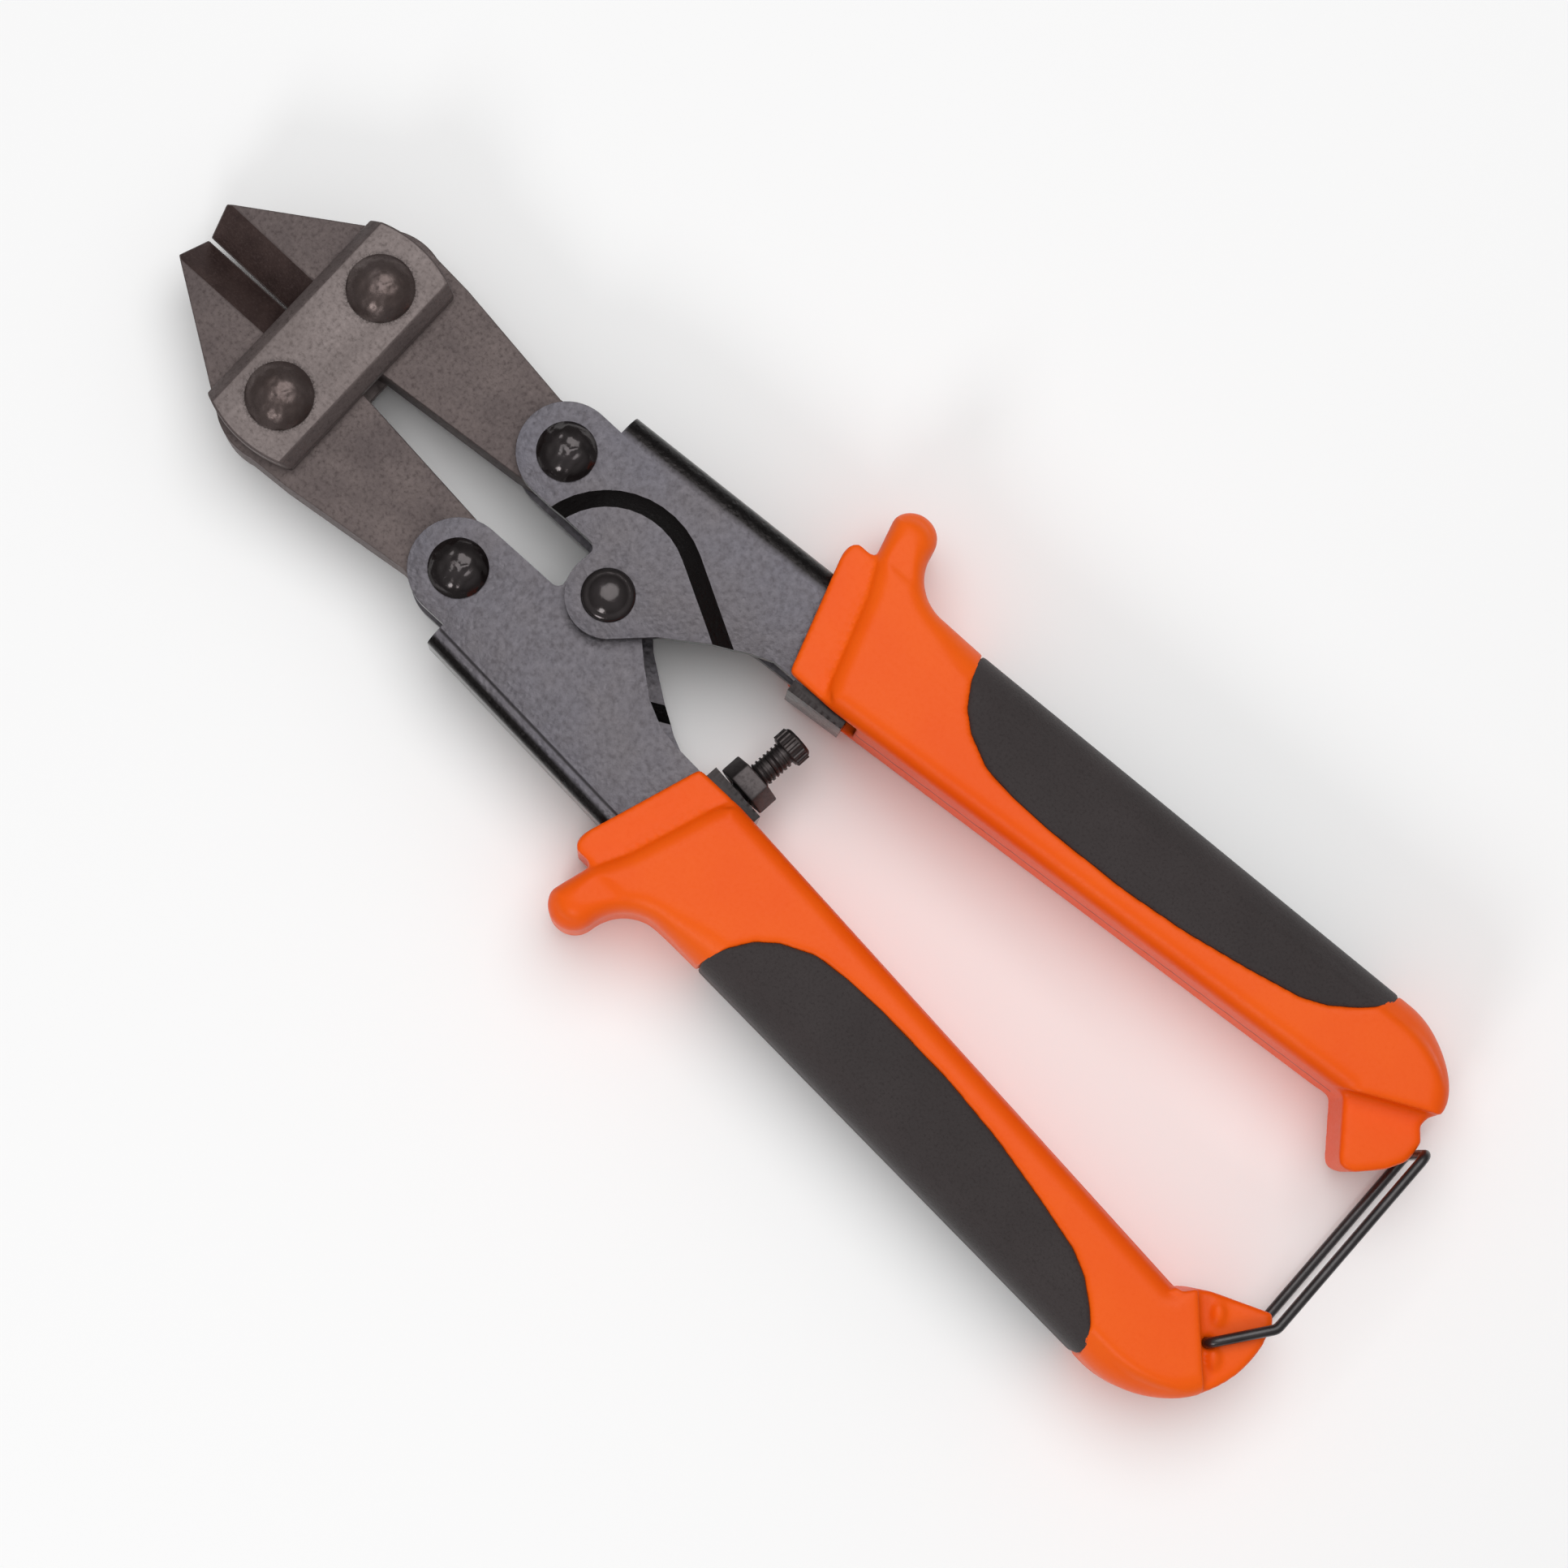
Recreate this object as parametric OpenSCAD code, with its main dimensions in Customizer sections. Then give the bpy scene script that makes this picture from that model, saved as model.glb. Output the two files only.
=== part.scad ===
// Mini bolt cutter, 210 mm long, in the closed and latched position.
// Everything is drawn about the centre pivot, in the middle plane, with the
// handles along +X, the hook handle on +Y and the front face towards +Z.
// place() then moves it so that it lies on Z = 0, centred on the origin.

/* [Linkage] */
// Distance from the centre pivot back to the jaw rivets
jaw_rivet_x = 51.5; // [51:0.5:52]
// Half the distance between the two jaw rivets
jaw_rivet_y = 10.1; // [10:0.05:10.2]
// Distance from the centre pivot back to the link rivets
link_rivet_x = 17.7; // [17.6:0.1:17.8]
// Half the distance between the two link rivets
link_rivet_y = 10.9; // [10.85:0.05:11]
// Gap between neighbouring layers that slide on each other
slide_gap = 0.1; // [0.08:0.01:0.12]

/* [Jaws] */
// Thickness of the forged jaws
jaw_t = 8; // [7.8:0.1:8]
// Distance from the centre pivot to the jaw tips
tip_x = 75.6; // [75:0.1:76]
// Width of the ground bevel behind each cutting edge
bevel_w = 5; // [4.5:0.1:5.5]
// Play between the cutting edges when the handles are squeezed shut
edge_play = 0.03; // [0.03:0.01:0.06]

/* [Straps] */
// Radius of the round ends of the strap plates
strap_r = 18.1; // [17.5:0.1:18.5]
// Width of the strap plates along the tool
strap_w = 15.6; // [15:0.1:16]
// Thickness of the strap plates
strap_t = 3.1; // [2.8:0.1:3.1]
// Bevel on the long edges of the strap plates
strap_bevel = 1.6; // [1:0.1:2]

/* [Handle arms] */
// Thickness of the steel sheet
sheet_t = 2; // [1.8:0.1:2]
// Rise of the lobe that laps over the other arm
lobe_rise = 2.1; // [2.1:0.05:2.2]
// Radius of the arm's round end at the link rivet
arm_end_r = 7; // [6.6:0.1:7]
// Radius of the arm's lobe at the centre pivot
lobe_r = 6; // [5.6:0.1:6.2]

/* [Rivets] */
// Shank radius of the jaw and link rivets
shank_r = 3; // [2.5:0.1:3.2]
// Shank radius of the centre rivet
centre_shank_r = 2.5; // [2.2:0.1:2.8]
// Head radius of the jaw rivets
jaw_head_r = 4.75; // [4.5:0.05:5]
// Head radius of the link rivets
link_head_r = 4.2; // [4:0.05:4.4]
// Head radius of the centre rivet
centre_head_r = 3.75; // [3.5:0.05:4]

/* [Stop screw] */
// Distance of the stop screw from the centre pivot
stop_x = 33.2; // [33:0.1:33.4]
// Thread radius of the stop screw
stop_r = 2; // [1.8:0.1:2]
// Thread pitch
stop_pitch = 0.7; // [0.6:0.1:0.8]
// Width of the lock nut across its flats
nut_af = 7; // [6.8:0.1:7.4]

/* [Grips] */
// Half of the tool's thickness, to the faces of the grips
half_t = 10; // [10:0.1:10.4]
// Half thickness of the collar in front of the finger guard
collar_half_t = 8.2; // [7.8:0.1:8.6]
// Half thickness of the finger guard
guard_half_t = 9.6; // [9:0.1:9.8]
// Half thickness of the latch ends of the grips
latch_half_t = 6.6; // [6.4:0.1:6.8]
// Thickness of the soft pads
pad_t = 1.8; // [1.5:0.1:1.9]

/* [Wire bail] */
// Wire radius of the bail
wire_r = 0.75; // [0.7:0.05:0.8]
// Distance of the bail's legs from the middle plane
leg_z = 8; // [7.9:0.1:8.2]

/* [Hidden] */
$fn = 64;
eps = 0.01;

steel = "dimgray";
bright_steel = "gray";
orange = "orangered";
black = "#2b2829";

// Layers, as heights over the middle plane.
jaw_top = jaw_t / 2;
plate_low = jaw_top + slide_gap;          // inner face of straps and arm plates
strap_top = plate_low + strap_t;
plate_top = plate_low + sheet_t;          // outer face of an arm plate
lobe_top = plate_top + lobe_rise;         // outer face of a raised lobe
head_top = half_t - 0.1;                  // top of the jaw and centre rivet heads
run_play = 0.05;                          // radial play of a rivet in what turns on it
fit_play = 0.02;                          // radial play of a rivet in what it is fixed in
loop_play = 0.25;                         // play at the centre pivot, where the linkage closes

jaw_rivet = [-jaw_rivet_x, jaw_rivet_y];
link_rivet = [-link_rivet_x, link_rivet_y];

// The arm's fold runs along a straight line that leaves the tool's axis.
fold_start = [-14, 21.2];
fold_end_x = 104;
fold_slope = 4;
fold_r = 3;                               // outer bend radius on the lobed side
fold_r_flat = 1.6;                        // outer bend radius on the flat side
function fold_y(x) = fold_start[1] + (x - fold_start[0]) * tan(fold_slope);

// Grip outline: inner and outer edges are straight, the end is round.
inner_start = [31.2, 8.9];
inner_end = [119, 17.5];
outer_start = [37.5, 28.6];
outer_end = [118.8, 33];
grip_end = [118.8, 17.7];
grip_end_r = 15.3;
// The bail's bar swings just outside this radius about the centre pivot.
hook_reach = 133.3;
bail_pivot = [128, -19.9];
bail_knee = [133.6, -12.3];
bail_bar = [133.05, 18.9];
bail_hole_r = wire_r + 0.04;

// The whole tool's box runs from the jaw tips to the outside of the bail.
far_x = bail_knee[0] + wire_r;
mid_x = (far_x - tip_x) / 2;

function arc(c, r, a0, a1, n = 12) =
    [for (i = [0:n]) let (a = a0 + (a1 - a0) * i / n) c + r * [cos(a), sin(a)]];

module place() { translate([-mid_x, 0, half_t]) children(); }
module flip_to_lower() { rotate([180, 0, 0]) children(); }
module slab(z0, z1) { translate([0, 0, z0]) linear_extrude(z1 - z0) children(); }
// A profile drawn in (Y, Z), drawn out along +X.
module along_x(length) { rotate([90, 0, 90]) linear_extrude(length) children(); }

// ---- straps and rivets ----

module strap() {
    slope = [[0, 0], [strap_bevel, 0], [0, -strap_bevel]];
    translate([-jaw_rivet_x, 0, 0]) difference() {
        slab(plate_low, strap_top) intersection() {
            circle(strap_r, $fn = 96);
            square([strap_w, 3 * strap_r], center = true);
        }
        for (side = [0, 180])
            rotate([0, 0, side])
                translate([-strap_w / 2, 2 * strap_r, strap_top + eps])
                    rotate([90, 0, 0]) linear_extrude(4 * strap_r) polygon(slope);
        for (y = [-jaw_rivet_y, jaw_rivet_y])
            translate([0, y, 0]) cylinder(r = shank_r + fit_play, h = 2 * strap_top);
    }
}

// A spherical head of radius r and height h that stands on Z = 0.
module rivet_head(r, h) {
    ball = (r * r + h * h) / (2 * h);
    intersection() {
        translate([0, 0, h - ball]) sphere(ball, $fn = 96);
        cylinder(r = r, h = h + 1);
    }
}

// A rivet through both faces, with its head seats at the given heights.
module rivet(shank, head, front, rear, head_top) {
    translate([0, 0, -rear]) cylinder(r = shank, h = front + rear);
    translate([0, 0, front]) rivet_head(head, head_top - front);
    translate([0, 0, -rear]) mirror([0, 0, 1]) rivet_head(head, head_top - rear);
}

module jaw_rivet_at(y) {
    translate([-jaw_rivet_x, y, 0])
        rivet(shank_r, jaw_head_r, strap_top, strap_top, head_top);
}

module link_rivet_up() {
    translate([link_rivet[0], link_rivet[1], 0])
        rivet(shank_r, link_head_r, plate_top, plate_top, plate_top + 2.4);
}

module centre_rivet() {
    rivet(centre_shank_r, centre_head_r, lobe_top, lobe_top + run_play, head_top);
}

module centre_spacer() {
    spacer_h = 2 * plate_low - slide_gap;
    translate([0, 0, -spacer_h / 2]) difference() {
        cylinder(r = 4.2, h = spacer_h);
        translate([0, 0, -1]) cylinder(r = centre_shank_r + fit_play, h = spacer_h + 2);
    }
}

// ---- jaws ----

// The cutting edge leaves the middle line by this slope, so that the edges
// come parallel when the handles are squeezed the last degree.
edge_slope = 0.0102;
function edge_y(x) = edge_play + edge_slope * (-jaw_rivet_x - x);
edge_end_x = -57.5;                        // the bevel ends under the strap
land = 0.2;                                // half height of the flat on the edge

module jaw_outline() {
    head_r = 9;
    tail_r = 6.2;
    polygon(concat(
        [[-tip_x, bevel_w - 0.2], [-tip_x + 0.9, edge_y(-tip_x + 0.9)],
         [-jaw_rivet_x, edge_play], [-44, 1.9], [-21, 4.1]],
        arc(link_rivet, tail_r, -75, 75),
        [[-23.5, 15.9], [-43, 18.4]],
        arc(jaw_rivet, head_r, 75, 125)));
}

module upper_jaw() {
    wedge = [[-3, land], [0, land], [bevel_w, jaw_top], [bevel_w, 9], [-3, 9]];
    difference() {
        slab(-jaw_top, jaw_top) jaw_outline();
        for (side = [0, 1])
            mirror([0, 0, side])
                translate([edge_end_x, edge_y(edge_end_x), 0])
                    rotate([0, 0, -atan(edge_slope)])
                        translate([-30, 0, 0]) along_x(30) polygon(wedge);
        for (hole = [jaw_rivet, link_rivet])
            translate([hole[0], hole[1], -jaw_t])
                cylinder(r = shank_r + run_play, h = 2 * jaw_t);
    }
}

// ---- handle arms ----

// One cheek of the channel, from the link rivet to the end of the tang.
module plate_outline(right_side, lobe_end) {
    window_y = 3.8;
    corner_r = 1.2;
    fold_in = fold_r - 0.2;
    polygon(concat(
        arc(link_rivet, arm_end_r, 100, 270, 24),
        [[-9, window_y]],
        arc([-lobe_r - 0.9, window_y - corner_r], corner_r, 90, 10, 5),
        arc([0, 0], lobe_r, 170, lobe_end, 20),
        right_side,
        [[40, 11.5], [fold_end_x, 18.7], [fold_end_x, fold_y(fold_end_x) - fold_in],
         [fold_start[0], fold_start[1] - fold_in]]));
}

// The lobed cheek swells from the centre pivot straight to the grip.
lobed_side = [[8.8, 0.3], [14.6, 4.4], [18.8, 7.1], [22.6, 8.8], [27, 8.9]];
// The flat cheek is hollowed out, clear of the other arm.
flat_side = [[7.3, 1.2], [10.1, 3.7], [13.8, 6.6], [17.2, 8.2], [20.5, 8.8], [27, 9.2]];

// A flat-topped mound round the pivot, with one straight flank.
mound_at = [-1, 0.8];
mound_turn = -28;
mound_r = 13.5;
flank_in = 2.6;
module mound(z) {
    translate([mound_at[0], mound_at[1], z]) rotate([0, 0, mound_turn])
        linear_extrude(lobe_rise, scale = 1 - flank_in / mound_r) polygon(concat(
            arc([0, 0], mound_r, 90, 270, 20), [[36, -mound_r], [36, mound_r]]));
}

// Cross-section of the folded sheet, as a solid bar and as the room inside it.
module fold_outside() {
    polygon(concat(
        [[-46, -plate_top]],
        arc([-fold_r_flat, fold_r_flat - plate_top], fold_r_flat, -90, 0, 6),
        arc([-fold_r, plate_top - fold_r], fold_r, 0, 90, 8),
        [[-46, plate_top]]));
}
module fold_inside() {
    polygon(concat(
        [[-47, -plate_low], [-sheet_t, -plate_low]],
        arc([-fold_r, plate_top - fold_r], fold_r - sheet_t, 0, 90, 4),
        [[-47, plate_low]]));
}
module along_fold(x0, x1) {
    translate([fold_start[0], fold_start[1], 0]) rotate([0, 0, fold_slope])
        translate([x0, 0, 0]) along_x(x1 - x0) children();
}

// All that the blanking tool takes away round one cheek.
module cheek_waste(right_side, lobe_end) {
    difference() {
        translate([-50, -40]) square([180, 100]);
        plate_outline(right_side, lobe_end);
        polygon([[-14, 17], [110, 26], [110, 44], [-14, 34]]);
    }
}

tab_turn = -5.8;
tab_face = 7.7;                           // distance of the tabs from the tool's axis
tab_w = 9;
module on_stop_axis() {
    translate([31.8, 0, 0]) rotate([0, 0, -tab_turn]) children();
}

// The channel of one arm, with the lobed cheek to the front.
module arm_channel() {
    difference() {
        union() {
            difference() {
                along_fold(-12, 118) fold_outside();
                along_fold(-30, 130) fold_inside();
                slab(2, half_t) cheek_waste(lobed_side, 310);
                slab(-half_t, -2) cheek_waste(flat_side, 350);
                translate([-60, 17.9, -half_t]) cube([46, 20, 2 * half_t]);
            }
            intersection() {
                slab(plate_top - 0.5, half_t) plate_outline(lobed_side, 310);
                mound(plate_top);
            }
        }
        mound(plate_low - eps);
    }
    on_stop_axis() translate([-tab_w / 2, tab_face, -plate_top + 0.05])
        cube([tab_w, sheet_t, 2 * plate_top - 0.1]);
}

module link_hole() {
    translate([link_rivet[0], link_rivet[1], -half_t])
        cylinder(r = shank_r + fit_play, h = 2 * half_t);
}

module upper_arm() {
    difference() {
        arm_channel();
        link_hole();
        translate([0, 0, -half_t])
            cylinder(r = centre_shank_r + fit_play, h = 2 * half_t);
    }
}

module lower_arm() {
    flip_to_lower() difference() {
        arm_channel();
        link_hole();
        translate([0, 0, -half_t])
            cylinder(r = centre_shank_r + loop_play, h = 2 * half_t);
        on_stop_axis() rotate([-90, 0, 0])
            cylinder(r = stop_r + run_play, h = 16);
    }
}

// ---- stop screw and its lock nut, in the lower arm's tab ----

head_low = 1.2;
head_h = 2.6;
nut_low = -7;
nut_h = 3.1;
module on_screw_axis() {
    flip_to_lower() on_stop_axis() rotate([90, 0, 0]) children();
}

module stop_screw() {
    tail = 14.5;
    flutes = 12;
    on_screw_axis() {
        translate([0, 0, -tail]) cylinder(r = stop_r - 0.05, h = tail + head_low + eps);
        translate([0, 0, head_low]) difference() {
            cylinder(r = 2.7, h = head_h);
            for (i = [0:flutes - 1])
                rotate([0, 0, i * 360 / flutes]) translate([2.95, 0, -eps])
                    cylinder(r = 0.4, h = head_h - 0.6, $fn = 16);
            translate([0, 0, head_h - 0.5]) difference() {
                cylinder(r = 4, h = 1);
                translate([0, 0, -eps]) cylinder(r1 = 2.7, r2 = 2.2, h = 0.52);
            }
        }
    }
}

module stop_nut() {
    on_screw_axis() translate([0, 0, nut_low]) difference() {
        cylinder(r = nut_af / sqrt(3), h = nut_h, $fn = 6);
        translate([0, 0, -1]) cylinder(r = stop_r + 0.05, h = nut_h + 2);
    }
}

// ---- grips ----

function line_angle(p, q) = atan2(q[1] - p[1], q[0] - p[0]);

// What is rounded off the two edges of a side that runs from p to q.
module edge_waste(p, q, r) {
    translate([p[0], p[1], 0]) rotate([0, 0, line_angle(p, q)])
        for (side = [0, 1])
            mirror([0, 0, side]) along_x(norm(q - p)) polygon(concat(
                [[2, half_t - r], [2, half_t + 2], [-r, half_t + 2]],
                arc([-r, half_t - r], r, 90, 0, 6)));
}

// Turned end of the grip that carries the hook.
hook_tip = concat(
    arc([118.8, 19.5], 13.5, 90, 22, 14),
    [[130.2, 23.4], [130, 21.5], [132.4, 19], [131.8, 16.4], [130.4, 13.8],
     [127.4, 10.6], [125.8, 10], [124.8, 10.6], [119.4, 17.5]]);
// Turned end of the grip that carries the wire bail.
bail_tip = concat(
    arc(grip_end, grip_end_r, 90, -10, 20),
    [[133, 12], [132, 11], [124, 14.3], [121.7, 15.7], [120.6, 17.4]]);

module body_outline(tip) {
    polygon(concat(
        [[33, 9.1], [29.5, 12.5], [25.6, 23.8], [24.8, 28.5], outer_start], tip));
}

module grip_body(tip) {
    inner_mirrored = [[inner_start[0], -inner_start[1]], [inner_end[0], -inner_end[1]]];
    difference() {
        slab(-half_t, half_t) body_outline(tip);
        edge_waste(outer_start, outer_end, 3.2);
        mirror([0, 1, 0]) edge_waste(inner_mirrored[0], inner_mirrored[1], 2.6);
        // seam line of the moulding
        translate([inner_start[0], inner_start[1], 0])
            rotate([0, 0, line_angle(inner_start, inner_end)])
                translate([8, -1, -0.3]) cube([76, 1.4, 0.6]);
    }
}

module collar() {
    slab(-collar_half_t, collar_half_t)
        polygon([[25.2, 9], [33, 9.1], [33, 28.4], [20.4, 28.4], [19.5, 27.5], [19.5, 26]]);
}

module guard() {
    tip = [25, 34];
    slab(-guard_half_t, guard_half_t) polygon(concat(
        [[28, 22], [25.9, 23.6], [23.4, 28]],
        arc(tip, 3.6, 172, 0, 16),
        arc([35.4, 35.4], 6.9, 195, 268, 10),
        [[39, 28.3], [39, 26]]));
}

// Room for the arm's tang, its stop tab and the stop screw's tail.
module tang_socket() {
    g = fit_play;
    slab(-plate_top - g, plate_top + g) polygon([
        [15, 5], [26.4, 5], [26.4, 7], [36.9, 7], [36.9, 10.4], [40, 11.4],
        [fold_end_x + g, 18.6], [fold_end_x + g, fold_y(fold_end_x) + g],
        [15, fold_y(15) + g]]);
}

// Where the soft pad is let into the outer side.
pad_line = [[43.1, 28], [44.2, 24.8], [46.4, 21.5], [49.1, 19.3], [53.8, 17.2], [59, 16.7],
            [65.5, 16.7], [78.7, 17.6], [88.5, 19], [98.4, 21.1], [106, 23], [109.5, 24.7],
            [112.8, 27.3], [114.5, 29], [116.2, 32.2]];
module pad_recess() {
    difference() {
        slab(-half_t - 1, half_t + 1)
            polygon(concat([[42.6, 40]], pad_line, [[117, 40]]));
        translate([outer_start[0], outer_start[1], 0])
            rotate([0, 0, line_angle(outer_start, outer_end)])
                translate([-20, -60 - pad_t, pad_t - half_t])
                    cube([140, 60, 2 * (half_t - pad_t)]);
    }
}

module grip_pad() {
    intersection() {
        grip_body(bail_tip);
        pad_recess();
    }
}

module grip_shell(tip) {
    difference() {
        union() {
            grip_body(tip);
            collar();
            guard();
        }
        pad_recess();
        tang_socket();
    }
}

// Thins both faces of a latch end, beyond the line from p to q.
module thin_end(p, q, side) {
    translate([p[0], p[1], 0]) rotate([0, 0, line_angle(p, q)])
        for (z = [latch_half_t, -latch_half_t - 6])
            translate([-8, side > 0 ? 0 : -40, z]) cube([40, 40, 6]);
}

module upper_grip() {
    intersection() {
        difference() {
            grip_shell(hook_tip);
            thin_end([119.5, 18.3], [131.3, 24.3], -1);
        }
        cylinder(r = hook_reach - 0.2, h = 4 * half_t, center = true, $fn = 256);
    }
}

module lower_grip() {
    flip_to_lower() difference() {
        grip_shell(bail_tip);
        thin_end([121.4, 15], [131.4, 25], -1);
        translate([bail_pivot[0], -bail_pivot[1], -half_t])
            cylinder(r = bail_hole_r, h = 2 * half_t, $fn = 32);
    }
}

// ---- wire bail ----

function across(p, q) = wire_r * [p[1] - q[1], q[0] - p[0]] / norm(q - p);
function along(p, q) = wire_r * (q - p) / norm(q - p);

// One leg of the bail, as a flat bar from the pivot over the knee to the bar.
module bail_leg() {
    n1 = across(bail_pivot, bail_knee);
    n2 = across(bail_knee, bail_bar);
    mitre = (n1 + n2) / (1 + n1 * n2 / (wire_r * wire_r));
    back = bail_pivot - along(bail_pivot, bail_knee);
    ahead = bail_bar + along(bail_knee, bail_bar);
    slab(leg_z - wire_r, leg_z + wire_r) polygon([
        back + n1, bail_knee + mitre, ahead + n2,
        ahead - n2, bail_knee - mitre, back - n1]);
}

module wire_bail() {
    pin_low = 3;
    for (side = [0, 1])
        mirror([0, 0, side]) {
            bail_leg();
            translate([bail_pivot[0], bail_pivot[1], pin_low])
                cylinder(r = wire_r - 0.02, h = leg_z - pin_low);
        }
    translate([bail_bar[0], bail_bar[1], -leg_z])
        cylinder(r = wire_r - 0.02, h = 2 * leg_z);
}

// ---- the tool, one node at a time ----

color(steel) place() strap();  // front_strap
color(steel) place() flip_to_lower() strap();  // rear_strap
color(steel) place() jaw_rivet_at(jaw_rivet_y);  // upper_jaw_rivet
color(steel) place() jaw_rivet_at(-jaw_rivet_y);  // lower_jaw_rivet
color(steel) place() upper_jaw();
color(steel) place() flip_to_lower() upper_jaw();  // lower_jaw
color(bright_steel) place() upper_arm();
color(bright_steel) place() lower_arm();
color(black) place() link_rivet_up();  // upper_link_rivet
color(black) place() flip_to_lower() link_rivet_up();  // lower_link_rivet
color(black) place() centre_rivet();
color(steel) place() centre_spacer();
color(orange) place() upper_grip();
color(orange) place() lower_grip();
color(black) place() grip_pad();  // upper_grip_pad
color(black) place() flip_to_lower() grip_pad();  // lower_grip_pad
color(steel) place() stop_screw();
color(bright_steel) place() stop_nut();
color(black) place() wire_bail();
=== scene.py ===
import math

import bmesh
import bpy
import numpy as np
from mathutils import Matrix, Vector, noise


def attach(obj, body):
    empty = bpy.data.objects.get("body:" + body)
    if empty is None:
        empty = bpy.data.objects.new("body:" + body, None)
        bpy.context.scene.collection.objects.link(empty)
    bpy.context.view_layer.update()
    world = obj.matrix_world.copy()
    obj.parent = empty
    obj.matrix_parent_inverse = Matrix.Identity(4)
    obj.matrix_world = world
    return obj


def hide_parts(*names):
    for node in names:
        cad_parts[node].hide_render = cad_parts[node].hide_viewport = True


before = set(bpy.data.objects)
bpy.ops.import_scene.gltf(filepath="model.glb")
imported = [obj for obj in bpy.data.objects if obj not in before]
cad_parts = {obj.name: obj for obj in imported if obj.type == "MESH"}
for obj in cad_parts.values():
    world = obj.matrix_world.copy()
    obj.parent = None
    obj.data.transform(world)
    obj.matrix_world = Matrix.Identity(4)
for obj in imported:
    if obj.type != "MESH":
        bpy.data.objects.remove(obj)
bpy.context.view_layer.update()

# ---- bench, daylight and viewpoint ----
# The tool lies front face up on a plain pale bench under a large soft light.
# All places are given from the centre pivot, halfway through the tool's thickness.

MM = 0.001
PIVOT = Vector((-29.375, 0.0, 10.0)) * MM


def spot(x, y, z=0.0):
    """A place measured in millimetres from the centre pivot."""
    return PIVOT + Vector((x, y, z)) * MM


TOOL_SLANT = math.radians(42.4)
viewer = bpy.data.cameras.new("viewer")
viewer.lens = 100.7
viewer.sensor_width = 36.0
viewer_object = bpy.data.objects.new("viewer", viewer)
bpy.context.scene.collection.objects.link(viewer_object)
stand = spot(53, -56, 600)
ahead = (spot(34.7, -2.1) - stand).normalized()
upwards = Vector((-math.sin(TOOL_SLANT), math.cos(TOOL_SLANT), 0))
right = ahead.cross(upwards).normalized()
upwards = right.cross(ahead)
turn = Matrix((right, upwards, -ahead)).transposed().to_4x4()
viewer_object.matrix_world = Matrix.Translation(stand) @ turn
bpy.context.scene.camera = viewer_object


def soft_light(name, place, size, watts):
    """A round light panel aimed at the middle of the tool."""
    lamp = bpy.data.lights.new(name, "AREA")
    lamp.shape = "DISK"
    lamp.size = size
    lamp.energy = watts
    holder = bpy.data.objects.new(name, lamp)
    holder.location = place
    beam = -Vector(place)
    holder.rotation_euler = beam.to_track_quat("-Z", "Y").to_euler()
    bpy.context.scene.collection.objects.link(holder)


soft_light("overhead", (-0.12, 0.2, 0.85), size=0.8, watts=4.2)
soft_light("window", (0.15, -0.6, 0.45), size=0.25, watts=1.2)

sky = bpy.data.worlds.new("studio")
sky.use_nodes = True
sky_tree = sky.node_tree
facing = sky_tree.nodes.new("ShaderNodeSeparateXYZ")
sky_place = sky_tree.nodes.new("ShaderNodeTexCoord").outputs["Generated"]
sky_tree.links.new(sky_place, facing.inputs[0])
brightness = sky_tree.nodes.new("ShaderNodeMapRange")
LOW_SKY, HIGH_SKY, DIM, BRIGHT = 0.25, 0.9, 0.17, 0.57
for number, value in enumerate((LOW_SKY, HIGH_SKY, DIM, BRIGHT), 1):
    brightness.inputs[number].default_value = value
sky_tree.links.new(facing.outputs["Z"], brightness.inputs[0])
sky_tree.links.new(brightness.outputs[0], sky_tree.nodes["Background"].inputs["Strength"])
sky_tree.nodes["Background"].inputs["Color"].default_value = (1, 1, 1, 1)
bpy.context.scene.world = sky
bpy.context.scene.view_settings.view_transform = "Standard"

bench_mesh = bpy.data.meshes.new("bench")
BENCH_HALF = 3
bench_corners = [
    (-BENCH_HALF, -BENCH_HALF, 0), (BENCH_HALF, -BENCH_HALF, 0),
    (BENCH_HALF, BENCH_HALF, 0), (-BENCH_HALF, BENCH_HALF, 0),
]
bench_mesh.from_pydata(bench_corners, [], [(0, 1, 2, 3)])
bench = bpy.data.objects.new("bench", bench_mesh)
bpy.context.scene.collection.objects.link(bench)
bench_paint = bpy.data.materials.new("bench_paint")
bench_paint.use_nodes = True
bench_surface = bench_paint.node_tree.nodes["Principled BSDF"]
bench_surface.inputs["Base Color"].default_value = (0.97, 0.97, 0.97, 1)
bench_surface.inputs["Roughness"].default_value = 0.9
bench_surface.inputs["Specular IOR Level"].default_value = 0.0
bench_mesh.materials.append(bench_paint)

# ---- forged jaws ----
# Two drop-forged cutter jaws, phosphated a dull grey-brown all over.
# Their cutting edges are ground to a bevel from both faces, which leaves darker metal.


def shade(red, green, blue):
    """A colour as a paint chart gives it, 0 to 255, in linear light."""
    steps = []
    for value in (red, green, blue):
        v = value / 255
        steps.append(v / 12.92 if v <= 0.04045 else ((v + 0.055) / 1.055) ** 2.4)
    return (*steps, 1.0)


def feed(tree, socket, value):
    """Gives a socket its value: a link where it is another socket, else a constant."""
    if isinstance(value, bpy.types.NodeSocket):
        tree.links.new(value, socket)
    else:
        socket.default_value = value


def add_node(tree, kind, **inputs):
    made = tree.nodes.new(kind)
    for label, value in inputs.items():
        feed(tree, made.inputs[label.replace("_", " ")], value)
    return made


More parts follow.
